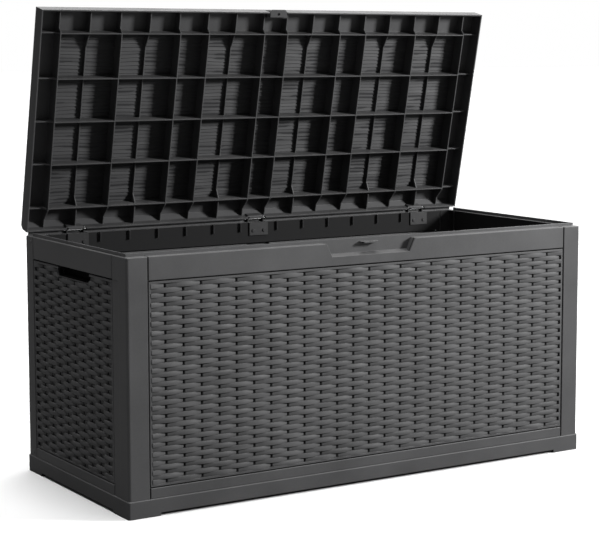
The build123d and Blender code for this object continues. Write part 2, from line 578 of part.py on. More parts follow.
def strike_tab():
    """Tab fixed to the back of the finger recess. Its hole lines up with the hasp when shut."""
    back = -HALF_D + LIP_FRONT_INSET
    tab = block(-TAB_HALF, TAB_HALF, -HALF_D + 2, back, TAB_TOP - TAB_THICK, TAB_TOP)
    tab = chamfer(tab.edges().filter_by(Axis.Z).group_by(Axis.Y)[0], 4.0)
    tab -= rod_z(0, HASP_HOLE_Y, LEDGE_Z - 6, LEDGE_Z, HASP_HOLE_RADIUS)
    return tab


# ---- locking pins --------------------------------------------------------------------
LOCK_Y = HALF_D - POST_SIDE_REAR + 13.0
LOCK_Z = (50.0, 536.0)
LOCK_RADIUS = 2.5
LOCK_HEAD_RADIUS = 4.1
LOCK_HEAD_OUT = 0.9


def locking_pins():
    """Push-in pins, low and high in each rear post, that lock the side rails' tongues into it."""
    pins = []
    for side_x in (-1, 1):
        ends = sorted((side_x * HALF_W, side_x * (HALF_W - TONGUE_BACK + 1)))
        head = sorted((side_x * HALF_W, side_x * (HALF_W + LOCK_HEAD_OUT)))
        for z in LOCK_Z:
            pins.append(rod_x(*ends, LOCK_Y, z, LOCK_RADIUS) + rod_x(*head, LOCK_Y, z, LOCK_HEAD_RADIUS))
    return Compound(children=pins)


def pin_holes(shape, side_x):
    """Drill one side's pin holes through a post or a rail tongue."""
    for z in LOCK_Z:
        ends = sorted((side_x * (HALF_W + 1), side_x * (HALF_W - TONGUE_BACK + 0.5)))
        shape -= rod_x(*ends, LOCK_Y, z, LOCK_RADIUS + 0.1)
    return shape


# ---- write one file per piece --------------------------------------------------------
save(base_frame(), "base_frame")
save(floor_panel(-1), "floor_panel_left")
save(floor_panel(1), "floor_panel_right")
save(floor_beam(), "floor_beam")
for post_x, x_name in ((-1, "left"), (1, "right")):
    for post_y, y_name in ((-1, "front"), (1, "rear")):
        post = corner_post(post_x, post_y)
        save(pin_holes(post, post_x) if post_y > 0 else post, f"corner_post_{y_name}_{x_name}")
    save(pin_holes(side_top_rail(post_x), post_x), f"top_rail_{x_name}")
    save(pin_holes(turn_to_side(lower_rail(SIDE_HALF), post_x), post_x), f"lower_rail_{x_name}")
    save(side_panel(post_x), f"wicker_panel_{x_name}")
save(front_top_rail(), "top_rail_front")
save(rear_top_rail(), "top_rail_rear")
save(Pos(0, -HALF_D, 0) * lower_rail(FRONT_HALF), "lower_rail_front")
save(mirror(Pos(0, -HALF_D, 0) * lower_rail(FRONT_HALF), Plane.XZ), "lower_rail_rear")
save(front_panel(), "wicker_panel_front")
save(rear_panel(), "wicker_panel_rear")
save(strike_tab(), "strike_tab")
for hinge_at, hinge_name in zip(HINGE_X, ("left", "centre", "right")):
    save(hinge_bracket(hinge_at), f"hinge_bracket_{hinge_name}")
    save(hinge_pin(hinge_at), f"hinge_pin_{hinge_name}")
save(bracket_screws(), "bracket_screws")
save(locking_pins(), "locking_pins")
save(lid_shell(), "lid_shell")
save(lid_hasp(), "lid_hasp")
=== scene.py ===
import math

import bmesh
import bpy
from mathutils import Matrix, Vector, noise


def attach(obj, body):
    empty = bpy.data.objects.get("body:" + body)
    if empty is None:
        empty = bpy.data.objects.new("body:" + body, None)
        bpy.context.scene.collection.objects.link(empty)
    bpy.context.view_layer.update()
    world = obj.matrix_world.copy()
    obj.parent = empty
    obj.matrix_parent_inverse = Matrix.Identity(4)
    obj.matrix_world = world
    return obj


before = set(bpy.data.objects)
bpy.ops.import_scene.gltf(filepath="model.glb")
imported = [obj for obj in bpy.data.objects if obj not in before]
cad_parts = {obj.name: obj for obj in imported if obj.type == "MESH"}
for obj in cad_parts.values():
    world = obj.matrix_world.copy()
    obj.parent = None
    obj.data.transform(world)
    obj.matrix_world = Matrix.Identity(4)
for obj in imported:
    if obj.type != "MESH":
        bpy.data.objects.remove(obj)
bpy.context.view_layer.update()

# ---- Base frame and floor ----
# The box stands on a moulded ring with a foot under each corner. The floor is two ribbed
# sheets that lie on the ring and meet over a beam. All are charcoal polypropylene, injection
# moulded in a mould with a fine spark-eroded grain, and they just lie in place.
METRE = 1.0
MM = 0.001 * METRE


def node_group(name, inputs, outputs):
    """An empty shader group with its sockets, its input node and its output node."""
    group = bpy.data.node_groups.new(name, "ShaderNodeTree")
    for label, kind, value in inputs:
        socket = group.interface.new_socket(name=label, in_out="INPUT", socket_type=kind)
        if value is not None:
            socket.default_value = value
    for label, kind in outputs:
        group.interface.new_socket(name=label, in_out="OUTPUT", socket_type=kind)
    return group, group.nodes.new("NodeGroupInput"), group.nodes.new("NodeGroupOutput")


def add(tree, kind, links=None, **values):
    """A node with its properties, its socket values and its incoming links."""
    node = tree.nodes.new(kind)
    for key, value in values.items():
        setattr(node, key, value)
    for socket, source in (links or {}).items():
        if isinstance(source, bpy.types.NodeSocket):
            tree.links.new(source, node.inputs[socket])
        else:
            node.inputs[socket].default_value = source
    return node


def calculate(tree, operation, *terms):
    """The output of one Math node."""
    return add(tree, "ShaderNodeMath", dict(enumerate(terms)), operation=operation).outputs[0]


def remap(tree, value, start, end, low=0.0, high=1.0):
    """The output of a Map Range node: value from start..end to low..high, held at both ends."""
    return add(tree, "ShaderNodeMapRange", {"Value": value, "From Min": start, "From Max": end,
                                            "To Min": low, "To Max": high}).outputs[0]


def rounded_edges_group():
    """Turns the normal round each moulded edge, and masks the edges themselves: for a painted highlight on
    the resin, and for rubbed wear on the steel.
    """
    group, given, made = node_group(
        "rounded edges",
        [("Radius", "NodeSocketFloat", 0.001), ("Vector", "NodeSocketVector", None)],
        [("Normal", "NodeSocketVector"), ("Edge", "NodeSocketFloat")])
    bevel = add(group, "ShaderNodeBevel", {"Radius": given.outputs["Radius"]}, samples=6)
    true = add(group, "ShaderNodeNewGeometry").outputs["True Normal"]
    agree = add(group, "ShaderNodeVectorMath", {0: bevel.outputs[0], 1: true},
                operation="DOT_PRODUCT").outputs["Value"]
    turned = remap(group, agree, 0.995, 0.80)
    patchy = add(group, "ShaderNodeTexNoise",
                 {"Vector": given.outputs["Vector"], "Scale": 55.0, "Detail": 3.0})
    uneven = remap(group, patchy.outputs["Fac"], 0.3, 0.7, 0.45, 1.0)
    group.links.new(bevel.outputs[0], made.inputs["Normal"])
    group.links.new(calculate(group, "MULTIPLY", turned, uneven), made.inputs["Edge"])
    return group


def mould_grain_group():
    """Fine eroded grain as a height, with slow cloudy variation of tone and of gloss."""
    group, given, made = node_group(
        "mould grain",
        [("Vector", "NodeSocketVector", None), ("Grain", "NodeSocketFloat", 900.0)],
        [("Height", "NodeSocketFloat"), ("Cloud", "NodeSocketFloat"), ("Speck", "NodeSocketFloat")])
    place, grain = given.outputs["Vector"], given.outputs["Grain"]
    fine = add(group, "ShaderNodeTexNoise",
               {"Vector": place, "Scale": grain, "Detail": 3.0, "Roughness": 0.6})
    cells = add(group, "ShaderNodeTexVoronoi",
                {"Vector": place, "Scale": calculate(group, "MULTIPLY", grain, 0.8)})
    cloud = add(group, "ShaderNodeTexNoise",
                {"Vector": place, "Scale": 7.0, "Detail": 4.0, "Roughness": 0.55})
    speck = add(group, "ShaderNodeTexNoise", {"Vector": place, "Scale": 260.0, "Detail": 2.0})
    height = calculate(group, "ADD", calculate(group, "MULTIPLY", fine.outputs["Fac"], 0.6),
                       calculate(group, "MULTIPLY", cells.outputs["Distance"], 0.5))
    group.links.new(height, made.inputs["Height"])
    group.links.new(cloud.outputs["Fac"], made.inputs["Cloud"])
    group.links.new(speck.outputs["Fac"], made.inputs["Speck"])
    return group


def settled_dust_group():
    """Where dust settles: on faces that look up, in drifts."""
    group, given, made = node_group("settled dust", [("Vector", "NodeSocketVector", None)],
                                    [("Dust", "NodeSocketFloat")])
    normal = add(group, "ShaderNodeNewGeometry").outputs["Normal"]
    up = add(group, "ShaderNodeSeparateXYZ", {0: normal}).outputs["Z"]
    facing = remap(group, up, 0.55, 1.0)
    drift = add(group, "ShaderNodeTexNoise",
                {"Vector": given.outputs["Vector"], "Scale": 24.0, "Detail": 5.0})
    amount = remap(group, drift.outputs["Fac"], 0.35, 0.75)
    group.links.new(calculate(group, "MULTIPLY", facing, amount), made.inputs["Dust"])
    return group


rounded_edges = rounded_edges_group()
mould_grain = mould_grain_group()
settled_dust = settled_dust_group()


def use_group(tree, group, **links):
    """A shared effect placed in one material, with its incoming links."""
    node = tree.nodes.new("ShaderNodeGroup")
    node.node_tree = group
    for socket, source in links.items():
        if isinstance(source, bpy.types.NodeSocket):
            tree.links.new(source, node.inputs[socket])
        else:
            node.inputs[socket].default_value = source
    return node


def mix_colour(tree, factor, first, second):
    """Colour first at factor 0, colour second at factor 1."""
    node = tree.nodes.new("ShaderNodeMix")
    node.data_type = "RGBA"
    for index, source in ((0, factor), (6, first), (7, second)):
        if isinstance(source, bpy.types.NodeSocket):
            tree.links.new(source, node.inputs[index])
        else:
            node.inputs[index].default_value = source
    return node.outputs[2]


def shaded(tone, factor):
    """An opaque colour: a tone made lighter or darker."""
    return tuple(factor * t for t in tone) + (1.0,)


DUST_COLOUR = (0.42, 0.41, 0.39, 1.0)
# painted shade: how dark it makes the colour, how much rougher, and how much less sheen
PAINTED_SHADE_TONE, PAINTED_SHADE_MATT, PAINTED_SHADE_DULL = 0.15, 0.30, 0.42


def moulded_resin(name, tone, gloss=0.44, edge_radius=1.0 * MM, edge_highlight_tone=2.0, grain=900.0, extra=None):
    """Charcoal moulded resin. extra(tree, place) may give a further height and a mask of painted shade."""
    material = bpy.data.materials.new(name)
    material.use_nodes = True
    tree = material.node_tree
    shader = tree.nodes["Principled BSDF"]
    place = add(tree, "ShaderNodeTexCoord").outputs["Object"]
    edges = use_group(tree, rounded_edges, Radius=edge_radius, Vector=place)
    surface = use_group(tree, mould_grain, Vector=place, Grain=grain)
    dust = use_group(tree, settled_dust, Vector=place)
    cloud = remap(tree, surface.outputs["Cloud"], 0.3, 0.7)
    colour = mix_colour(tree, cloud, shaded(tone, 0.86), shaded(tone, 1.12))
    speck = remap(tree, surface.outputs["Speck"], 0.35, 0.65, 0.0, 0.12)
    colour = mix_colour(tree, speck, colour, shaded(tone, 1.5))
    height = surface.outputs["Height"]
    matt = 0.0
    if extra:
        more, painted_shade = extra(tree, place)
        height = calculate(tree, "ADD", height, more)
        # the extra mask paints shade: darker colour, rougher and with less sheen
        colour = mix_colour(tree, painted_shade, colour, shaded(tone, PAINTED_SHADE_TONE))
        matt = calculate(tree, "MULTIPLY", painted_shade, PAINTED_SHADE_MATT)
        sheen = calculate(tree, "SUBTRACT", 0.5, calculate(tree, "MULTIPLY", painted_shade, PAINTED_SHADE_DULL))
        tree.links.new(sheen, shader.inputs["Specular IOR Level"])
    # a painted highlight: moulded edges lighter in colour, patchy along their length
    edge_wear_and_highlight = calculate(tree, "MULTIPLY", edges.outputs["Edge"], 0.55)
    colour = mix_colour(tree, edge_wear_and_highlight, colour, shaded(tone, edge_highlight_tone))
    dusty = calculate(tree, "MULTIPLY", dust.outputs["Dust"], 0.10)
    colour = mix_colour(tree, dusty, colour, DUST_COLOUR)
    tree.links.new(colour, shader.inputs["Base Color"])
    rough = remap(tree, surface.outputs["Cloud"], 0.25, 0.75, gloss - 0.04, gloss + 0.06)
    rough = calculate(tree, "ADD", rough, matt)
    rough = calculate(tree, "ADD", rough, calculate(tree, "MULTIPLY", dust.outputs["Dust"], 0.12))
    tree.links.new(rough, shader.inputs["Roughness"])
    bump = add(tree, "ShaderNodeBump", {"Height": height, "Normal": edges.outputs["Normal"],
                                        "Strength": 0.35, "Distance": 0.12 * MM})
    tree.links.new(bump.outputs[0], shader.inputs["Normal"])
    shader.inputs["IOR"].default_value = 1.5
    return material


def dress(material, *names):
    """Give CAD nodes their material."""
    for name in names:
        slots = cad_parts[name].data.materials
        slots.clear()
        slots.append(material)


base_resin = moulded_resin("charcoal base resin", (0.080, 0.080, 0.082), gloss=0.46)
dress(base_resin, "base_frame")
# darker than the base's resin: partly the floor's own tone, partly painted shade to go with the
# painted-dark inside walls
shaded_floor_resin = moulded_resin("floor resin", (0.044, 0.044, 0.046), gloss=0.56, grain=700.0)
dress(shaded_floor_resin, "floor_panel_left", "floor_panel_right", "floor_beam")

# ---- Corner posts and rails ----
# Four hollow posts take the tongues of four top rails and four lower rails. They are the same
# charcoal resin as the base, with a satin skin, and every visible edge is softly broken.
# The rails push into the posts, and pins lock them.
POST_FACE = 260.0 * MM        # outer faces of the posts, from the middle
SIDE_FACE = 605.0 * MM
WALL_INSIDE = 19.8 * MM       # the inner faces of the walls lie just beyond this depth


def set_back(first, last):
    """Painted shade on upright faces that stand between first and last behind the posts' outer faces, in
    the grooves, and on those inside the box: the mask darkens their colour and dulls their sheen."""
    def painted_shade(tree, place):
        split = add(tree, "ShaderNodeSeparateXYZ", {0: place})
        across, along = (calculate(tree, "ABSOLUTE", split.outputs[axis]) for axis in ("Y", "X"))
        depth = calculate(tree, "MINIMUM", calculate(tree, "SUBTRACT", POST_FACE, across),
                          calculate(tree, "SUBTRACT", SIDE_FACE, along))
        deep = remap(tree, depth, first - 1.2 * MM, first, 0.0, 0.95)
        outer = remap(tree, depth, last, last + 0.4 * MM, 1.0, 0.0)
        inside = remap(tree, depth, WALL_INSIDE - 0.6 * MM, WALL_INSIDE, 0.0, 0.92)
        normal = add(tree, "ShaderNodeNewGeometry").outputs["True Normal"]
        tilt = add(tree, "ShaderNodeSeparateXYZ", {0: normal}).outputs["Z"]
        upright = calculate(tree, "LESS_THAN", calculate(tree, "ABSOLUTE", tilt), 0.5)
        # the mask paints shade into the grooves and onto the box's inside walls
        painted_dark = calculate(tree, "MAXIMUM", calculate(tree, "MULTIPLY", deep, outer), inside)
        return 0.0, calculate(tree, "MULTIPLY", painted_dark, upright)
    return painted_shade


frame_resin = moulded_resin("charcoal frame resin", (0.086, 0.086, 0.088), gloss=0.42, edge_highlight_tone=2.6,
                            extra=set_back(4.2 * MM, 6.0 * MM))
WALLS = ("front", "rear", "left", "right")
dress(frame_resin, *[f"corner_post_{end}_{side}" for end in WALLS[:2] for side in WALLS[2:]])
dress(frame_resin, *[f"{level}_rail_{wall}" for level in ("top", "lower") for wall in WALLS])
dress(frame_resin, "strike_tab")

# ---- Wicker panels ----
# Each wall is one moulded sheet with a bead round it. Its relief copies woven flat cane: every
# strand rises over one upright and dives under the next, and neighbouring rows are staggered.
# The strands are part of the moulding; here they are built one by one on the sheet.
SHEET_DEPTH = 6.6 * MM        # the sheet lies this far behind the posts' outer face
STRAND_LOW = 5.2 * MM         # depth of a strand's ends and of its crest
STRAND_CREST = -0.1 * MM
STRAND_GAP = 4.0 * MM
STRAND_CROWN = 0.45 * MM      # how much lower a strand's edges are than its middle
STRAND_SKEW = 1.30            # puts the crest right of a strand's middle
STRAND_NECK, STRAND_SWELL = 0.87, 0.17
FIELD_BOTTOM, FIELD_TOP = 67.5 * MM, 490.5 * MM
LENGTH_CUTS, WIDTH_CUTS = 7, 3


def cane_strand(length, width):
    """One strand along X from the slot at its left end, face at -Y, closed all round."""
    bm = bmesh.new()
    bmesh.ops.create_cube(bm, size=1.0)
    bmesh.ops.translate(bm, vec=(0.5, 0.5, 0.0), verts=bm.verts)
    bmesh.ops.scale(bm, vec=(length - STRAND_GAP, SHEET_DEPTH, width), verts=bm.verts)
    along = [e for e in bm.edges if abs(e.verts[0].co.x - e.verts[1].co.x) > 1e-6]
    bmesh.ops.subdivide_edges(bm, edges=along, cuts=LENGTH_CUTS, use_grid_fill=True)
    across = [e for e in bm.edges if max(v.co.y for v in e.verts) < 1e-6
              and abs(e.verts[0].co.z - e.verts[1].co.z) > 1e-6]
    bmesh.ops.subdivide_edges(bm, edges=across, cuts=WIDTH_CUTS, use_grid_fill=True)
    uv = bm.loops.layers.uv.new("strand")
    for face in bm.faces:
        for loop in face.loops:
            loop[uv].uv = (loop.vert.co.x / length, loop.vert.co.z / width + 0.5)
    for vert in bm.verts:
        u, v = vert.co.x / (length - STRAND_GAP), 2 * vert.co.z / width
        rise = math.sin(math.pi * min(max(u, 0.0), 1.0) ** STRAND_SKEW)
        if vert.co.y < SHEET_DEPTH / 2:
            crown = STRAND_CROWN * abs(v) ** 4
            vert.co.y = STRAND_LOW + (STRAND_CREST - STRAND_LOW) * rise + crown
        vert.co.z *= STRAND_NECK + STRAND_SWELL * rise
        vert.co.x += STRAND_GAP / 2
    bmesh.ops.recalc_face_normals(bm, faces=bm.faces)
    return bm


def cut_at(bm, x, keep):
    """Cut closed strands at a plane across X, keep one side of it and close the cut."""
    everything = bm.verts[:] + bm.edges[:] + bm.faces[:]
    cut = bmesh.ops.bisect_plane(bm, geom=everything, plane_co=(x, 0, 0), plane_no=(keep, 0, 0),
                                 clear_inner=True)
    rim = [e for e in cut["geom_cut"] if isinstance(e, bmesh.types.BMEdge)]
    bmesh.ops.holes_fill(bm, edges=rim, sides=0)


def woven_rows(low, high, first_slot, pitch, rows):
    """Strands over a field from x = low to high. Slots stand at first_slot + k pitch, in the top row
    for even k and in the next row for odd k, and so on downwards."""
    height = (FIELD_TOP - FIELD_BOTTOM) / rows
    strand = cane_strand(2 * pitch, height)
    mesh = bpy.data.meshes.new("one strand")
    strand.to_mesh(mesh)
    strand.free()
    pair = bmesh.new()
    for row in (0, 1):
        line = bmesh.new()
        x = first_slot + row * pitch
        while x > low:
            x -= 2 * pitch
        while x < high - STRAND_GAP / 2:
            start = len(line.verts)
            line.from_mesh(mesh)
            line.verts.ensure_lookup_table()
            middle = FIELD_TOP - (row + 0.5) * height
            bmesh.ops.translate(line, vec=(x, 0, middle), verts=line.verts[start:])
            x += 2 * pitch
        cut_at(line, low, 1)
        cut_at(line, high, -1)
        whole = bpy.data.meshes.new("one row")
        line.to_mesh(whole)
        line.free()
        pair.from_mesh(whole)
        bpy.data.meshes.remove(whole)
    bpy.data.meshes.remove(mesh)
    everything = pair.verts[:] + pair.edges[:] + pair.faces[:]
    bmesh.ops.spin(pair, geom=everything, cent=(0, 0, 0), axis=(0, 0, 1), dvec=(0, 0, -2 * height),
                   angle=0.0, steps=(rows + 1) // 2 - 1, use_duplicate=True)
    if rows % 2:
        extra = [v for v in pair.verts if v.co.z < FIELD_BOTTOM - 0.1 * height]
        bmesh.ops.delete(pair, geom=extra, context="VERTS")
    return pair


def settle(bm, seed):
    """No two strands of the carved master are alike: vary their depth and their line a little."""
    for vert in bm.verts:
        if vert.co.y < SHEET_DEPTH - 0.3 * MM:
            place = Vector((vert.co.x * 14.0, seed, vert.co.z * 95.0))
            vert.co.y += 0.75 * MM * noise.noise(place)
            vert.co.z += 0.45 * MM * noise.noise(place + Vector((7.3, 0, 0)))


def finish_piece(bm, name, body, material, sharp=50.0):
    """Shade, name and place one new piece, and let it ride on its body."""
    for face in bm.faces:
        face.smooth = True
    for edge in bm.edges:
        edge.smooth = edge.is_manifold and edge.calc_face_angle(0.0) < math.radians(sharp)
    mesh = bpy.data.meshes.new(name)
    bm.to_mesh(mesh)
    bm.free()
    piece = bpy.data.objects.new(name, mesh)
    bpy.context.scene.collection.objects.link(piece)
    mesh.materials.append(material)
    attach(piece, body)
    return piece


def cane_lines(tree, place):
    """Fine lengthwise lines on a strand, deeper where it leaves its slot, painted shade at its ends and a
    painted shadow along its upper edge beside each slot.
    """
    uv = add(tree, "ShaderNodeUVMap", uv_map="strand").outputs[0]
    split = add(tree, "ShaderNodeSeparateXYZ", {0: uv})
    wander = add(tree, "ShaderNodeTexNoise", {"Vector": place, "Scale": 30.0, "Detail": 2.0}).outputs["Fac"]
    across = calculate(tree, "ADD", calculate(tree, "MULTIPLY", split.outputs["Y"], 31.0),
                       calculate(tree, "MULTIPLY", wander, 5.0))
    lines = calculate(tree, "SINE", across)
    near = remap(tree, split.outputs["X"], 0.02, 0.40, 1.0, 0.25)
    groove = calculate(tree, "MULTIPLY", calculate(tree, "MULTIPLY", lines, near), 1.6)
    ends = calculate(tree, "ABSOLUTE", calculate(tree, "SUBTRACT", split.outputs["X"], 0.5))
    # painted shade on the strand's ends inside the slots
    end_shade = remap(tree, ends, 0.470, 0.482, 0.0, 0.75)
    # a painted shadow lies along a strand's upper edge where it dives beside a slot
    edge = remap(tree, split.outputs["Y"], 0.72, 0.90)
    dive = remap(tree, ends, 0.22, 0.40, 0.0, 0.70)
    return groove, calculate(tree, "MAXIMUM", end_shade, calculate(tree, "MULTIPLY", edge, dive))


POCKET_FLOOR, POCKET_MOUTH, POCKET_BACK = 473.5 * MM, 4.6 * MM, 28.0 * MM


def sheet_painted_shade(tree, place):
    """Painted shade on the sheet itself behind the strands, and in the pockets of the hand grips, which are
    painted dark all round.
    """
    no_height, painted_shade = set_back(6.4 * MM, 7.4 * MM)(tree, place)
    split = add(tree, "ShaderNodeSeparateXYZ", {0: place})
    inward = calculate(tree, "SUBTRACT", SIDE_FACE, calculate(tree, "ABSOLUTE", split.outputs["X"]))
    behind_face = calculate(tree, "GREATER_THAN", inward, POCKET_MOUTH)
    before_back = calculate(tree, "LESS_THAN", inward, POCKET_BACK)
    # the pockets of the hand grips are painted dark: painted shade
    pocket = calculate(tree, "MULTIPLY",
                       calculate(tree, "GREATER_THAN", split.outputs["Z"], POCKET_FLOOR),
                       calculate(tree, "MULTIPLY", behind_face, before_back))
    return no_height, calculate(tree, "MAXIMUM", painted_shade, pocket)


sheet_resin = moulded_resin("wicker sheet resin", (0.086, 0.086, 0.088), gloss=0.48, edge_highlight_tone=2.2,
                            extra=sheet_painted_shade)
cane_resin = moulded_resin("wicker strand resin", (0.094, 0.094, 0.096), gloss=0.58, edge_radius=0.35 * MM,
                           edge_highlight_tone=1.5, grain=1100.0, extra=cane_lines)
dress(sheet_resin, *[f"wicker_panel_{wall}" for wall in WALLS])

FRONT_FIELD = 549.1 * MM      # half the length of the long fields
FRONT_SLOT, FRONT_PITCH, FRONT_ROWS = -515.0 * MM, 42.6 * MM, 43
for side, turn, seed in (("front", 0.0, 1.0), ("rear", math.pi, 2.0)):
    weave = woven_rows(-FRONT_FIELD, FRONT_FIELD, FRONT_SLOT, FRONT_PITCH, FRONT_ROWS)
    settle(weave, seed)
    bmesh.ops.translate(weave, vec=(0, -POST_FACE, 0), verts=weave.verts)
    bmesh.ops.rotate(weave, cent=(0, 0, 0), matrix=Matrix.Rotation(turn, 3, "Z"), verts=weave.verts)
    finish_piece(weave, f"woven_relief_{side}", "box", cane_resin)

SIDE_REAR, SIDE_FRONT = 212.6 * MM, -184.6 * MM
SIDE_SLOT, SIDE_PITCH, SIDE_ROWS = -173.3 * MM, 41.3 * MM, 44
GRIP_CENTRE, GRIP_SKIN = 6.0 * MM, 2.6 * MM
GRIP_FLOOR, GRIP_MOUTH = 474.5 * MM, 498.0 * MM
GRIP_LOW_HALF, GRIP_HIGH_HALF = 79.0 * MM, 91.0 * MM


def clear_grip(bm):
    """Take the strands away from the mouth of the hand grip; X runs to the rear here."""
    row_under = GRIP_FLOOR - 4.0 * MM
    slant = (GRIP_HIGH_HALF - GRIP_LOW_HALF) / (GRIP_MOUTH - GRIP_FLOOR)
    for side in (-1, 1):
        near = [f for f in bm.faces if f.calc_center_median().z > row_under]
        geom = list({v for f in near for v in f.verts}) + list({e for f in near for e in f.edges})
        geom += near
        edge = (GRIP_CENTRE + side * (GRIP_LOW_HALF + GRIP_SKIN), 0, GRIP_FLOOR)
        bmesh.ops.bisect_plane(bm, geom=geom, plane_co=edge, plane_no=(side, 0, -slant))
    inside = [f for f in bm.faces if f.calc_center_median().z > row_under and
              abs(f.calc_center_median().x - GRIP_CENTRE)
              < GRIP_LOW_HALF + GRIP_SKIN + slant * (f.calc_center_median().z - GRIP_FLOOR)]
    bmesh.ops.delete(bm, geom=inside, context="FACES")
    bmesh.ops.holes_fill(bm, edges=[e for e in bm.edges if e.is_boundary], sides=0)


MIRROR_X = Matrix.Scale(-1, 4, (1, 0, 0))
QUARTER_TURN = Matrix.Rotation(math.pi / 2, 3, "Z")
for side, seed in (("left", 3.0), ("right", 4.0)):
    weave = woven_rows(-SIDE_REAR, -SIDE_FRONT, SIDE_SLOT, SIDE_PITCH, SIDE_ROWS)
    bmesh.ops.transform(weave, matrix=MIRROR_X, verts=weave.verts)
    clear_grip(weave)
    settle(weave, seed)
    bmesh.ops.translate(weave, vec=(0, -SIDE_FACE, 0), verts=weave.verts)
    bmesh.ops.rotate(weave, cent=(0, 0, 0), matrix=QUARTER_TURN, verts=weave.verts)
    bmesh.ops.transform(weave, matrix=MIRROR_X, verts=weave.verts)
    if side == "right":
        bmesh.ops.transform(weave, matrix=MIRROR_X, verts=weave.verts)
    bmesh.ops.recalc_face_normals(weave, faces=weave.faces)
    finish_piece(weave, f"woven_relief_{side}", "box", cane_resin)

# ---- Lid ----
# One large moulded pan with a skirt all round and a grid of ribs inside. Its skin carries fine
# wavy ridges inside and a matching grain outside. The hasp plate is set into its front edge.
# Both textured sheets are built on the shut lid and then turned open with it.
HINGE_Y, HINGE_Z = 256.0 * MM, 559.5 * MM
OPEN = math.radians(77.65)
LID_RIM = 548.4 * MM
LID_FRONT, LID_BACK = -257.0 * MM, 257.0 * MM
LID_HALF = 608.0 * MM
LID_HEIGHT, LID_SKIN = 38.0 * MM, 3.0 * MM
RIDGE_PITCH = 8.75 * MM
RIDGE_RISE = 0.75             # share of the pitch over which a ridge climbs before it drops
RIDGE_LEAN = 0.12

lid_resin = moulded_resin("charcoal lid resin", (0.070, 0.070, 0.072), gloss=0.46, edge_highlight_tone=2.6)
dress(lid_resin, "lid_shell", "lid_hasp")


def ridged_sheet(half, y0, y1, columns, crest, seed):
    """A sheet in the XY plane whose ridges run along X and wander a little, crests towards +Z."""
    count = round((y1 - y0) / RIDGE_PITCH)
    bm = bmesh.new()
    bmesh.ops.create_grid(bm, x_segments=columns, y_segments=count * 4, size=0.5)
    bmesh.ops.scale(bm, vec=(2 * half, y1 - y0, 1), verts=bm.verts)
    bmesh.ops.translate(bm, vec=(0, (y0 + y1) / 2, 0), verts=bm.verts)
    for vert in bm.verts:
        x, y = vert.co.x, vert.co.y
        slow = 0.40 * noise.noise(Vector((x * 6.0, y * 16.0, seed)))
        quick = 0.22 * noise.noise(Vector((x * 17.0, y * 40.0, seed)))
        strength = 0.78 + 0.50 * noise.noise(Vector((x * 9.0, y * 70.0, seed + 4.0)))
        share = ((y - y0) / RIDGE_PITCH + 0.001) % 1.0 / RIDGE_RISE
        inside = min(1.0, (y - y0) / RIDGE_PITCH, (y1 - y) / RIDGE_PITCH)
        vert.co.y += RIDGE_PITCH * inside * (RIDGE_LEAN * share + (slow + quick))
        vert.co.z = crest * max(strength, 0.2) * share
    return bm


def close_sheet(bm, depth):
    """Give a sheet its underside, flat, at -depth."""
    skirt = bmesh.ops.extrude_edge_only(bm, edges=[e for e in bm.edges if e.is_boundary])["geom"]
    ring = [e for e in skirt if isinstance(e, bmesh.types.BMEdge) and e.is_boundary]
    for vert in {v for e in ring for v in e.verts}:
        vert.co.z = -depth
    bmesh.ops.holes_fill(bm, edges=ring, sides=0)
    bmesh.ops.recalc_face_normals(bm, faces=bm.faces)


def open_lid(bm):
    """Turn a piece that was built on the shut lid into its rest place."""
    swing = Matrix.Rotation(-OPEN, 3, "X")
    bmesh.ops.rotate(bm, cent=(0, HINGE_Y, HINGE_Z), matrix=swing, verts=bm.verts)


SHEET_COLUMNS = 90
LINING_HALF, LINING_FRONT, LINING_BACK = 558.0 * MM, LID_BACK - 460.0 * MM, LID_BACK - 52.0 * MM
# the lining is the lid's own resin painted about half as dark as the ribs: painted shade
shaded_ridge_resin = moulded_resin("lid lining resin", (0.036, 0.036, 0.038), gloss=0.60,
                            edge_radius=0.4 * MM, edge_highlight_tone=1.6)
lining = ridged_sheet(LINING_HALF, LINING_FRONT, LINING_BACK, SHEET_COLUMNS, crest=2.0 * MM, seed=2.0)
close_sheet(lining, 0.3 * MM)
face_down = Matrix.Rotation(math.pi, 3, "Y")
bmesh.ops.rotate(lining, cent=(0, 0, 0), matrix=face_down, verts=lining.verts)
bmesh.ops.translate(lining, vec=(0, 0, LID_RIM + LID_HEIGHT - LID_SKIN), verts=lining.verts)
open_lid(lining)
finish_piece(lining, "lid_lining_ridges", "lid", shaded_ridge_resin, sharp=60.0)

TOP_BORDER, TOP_SINK = 30.6 * MM, 0.95 * MM
top_resin = moulded_resin("lid top resin", (0.084, 0.084, 0.086), gloss=0.47, edge_radius=0.4 * MM,
                          edge_highlight_tone=1.5)
grain_top = ridged_sheet(LID_HALF - TOP_BORDER, LID_FRONT + TOP_BORDER, LID_BACK - TOP_BORDER,
                         SHEET_COLUMNS, crest=0.8 * MM, seed=9.0)
close_sheet(grain_top, 0.2 * MM)
bmesh.ops.translate(grain_top, vec=(0, 0, LID_RIM + LID_HEIGHT - TOP_SINK), verts=grain_top.verts)
open_lid(grain_top)
finish_piece(grain_top, "lid_top_grain", "lid", top_resin, sharp=60.0)

# ---- Hinge brackets, pins, screws and locking pins ----
# The brackets are bent from 3 mm steel sheet and powder coated black, as are their pan-head
# screws. The hinge pins are bare zinc-plated steel. The locking pins are the frame's own resin.


def scratches_group():
    """Thin straight marks in one direction, as a mask."""
    group, given, made = node_group("fine scratches", [("Vector", "NodeSocketVector", None)],
                                    [("Mark", "NodeSocketFloat")])
    stretched = add(group, "ShaderNodeMapping",
                    {"Vector": given.outputs["Vector"], "Scale": (60.0, 900.0, 2600.0)})
    lines = add(group, "ShaderNodeTexNoise",
                {"Vector": stretched.outputs[0], "Scale": 1.0, "Detail": 2.0})
    group.links.new(remap(group, lines.outputs["Fac"], 0.56, 0.66), made.inputs["Mark"])
    return group


fine_scratches = scratches_group()


